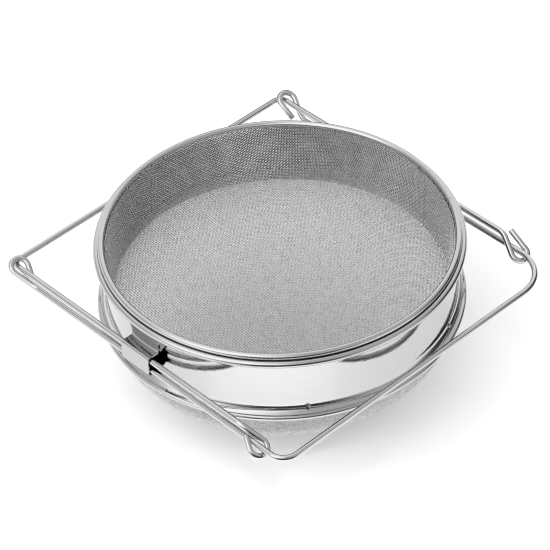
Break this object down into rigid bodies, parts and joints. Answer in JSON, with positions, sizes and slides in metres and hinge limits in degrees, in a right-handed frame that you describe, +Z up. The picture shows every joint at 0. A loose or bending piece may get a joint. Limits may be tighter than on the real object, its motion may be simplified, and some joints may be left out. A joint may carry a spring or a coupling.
{
  "type": "double sieve strainer",
  "caption": "Round double strainer: a lift-out coarse mesh basket over a fine mesh bowl, with sliding wire handles that span a bucket.",
  "frame": {"origin": "on the sieves' common axis, in the plane of the surface that the bowl rests on, which is the centre of the bowl's flat resting spot", "axes": "+Z up along the sieves' axis; +X the way the front handle pulls out; -Y the side of the front clip"},
  "size_m": [0.2563, 0.2576, 0.1121],
  "materials": {
    "polished_steel": "polished stainless steel strip",
    "wire_steel": "bright drawn stainless steel wire",
    "coarse_mesh": "woven stainless steel wire, coarse",
    "fine_mesh": "woven stainless steel wire, fine"
  },
  "bodies": {
    "lower_sieve": {"drum_band": "polished_steel", "drum_rim_wire": "wire_steel", "bottom_bead_wire": "wire_steel", "mesh_hoop": "polished_steel", "fine_mesh_bowl": "fine_mesh", "front_clip": "polished_steel", "rear_clip": "polished_steel"},
    "upper_sieve": {"coarse_mesh_basket": "coarse_mesh", "coarse_rim_band": "polished_steel", "coarse_rim_wire": "wire_steel"},
    "front_handle": {"front_handle_wire": "wire_steel"},
    "rear_handle": {"rear_handle_wire": "wire_steel"}
  },
  "joints": [
    {"name": "upper_sieve_lift", "type": "slide", "parent": "lower_sieve", "child": "upper_sieve", "axis": [0, 0, 1], "range_m": [0, 0.06]},
    {"name": "front_handle_slide", "type": "slide", "parent": "lower_sieve", "child": "front_handle", "axis": [1, 0, 0], "range_m": [0, 0.08]},
    {"name": "rear_handle_slide", "type": "slide", "parent": "lower_sieve", "child": "rear_handle", "axis": [-1, 0, 0], "range_m": [0, 0.068]}
  ]
}
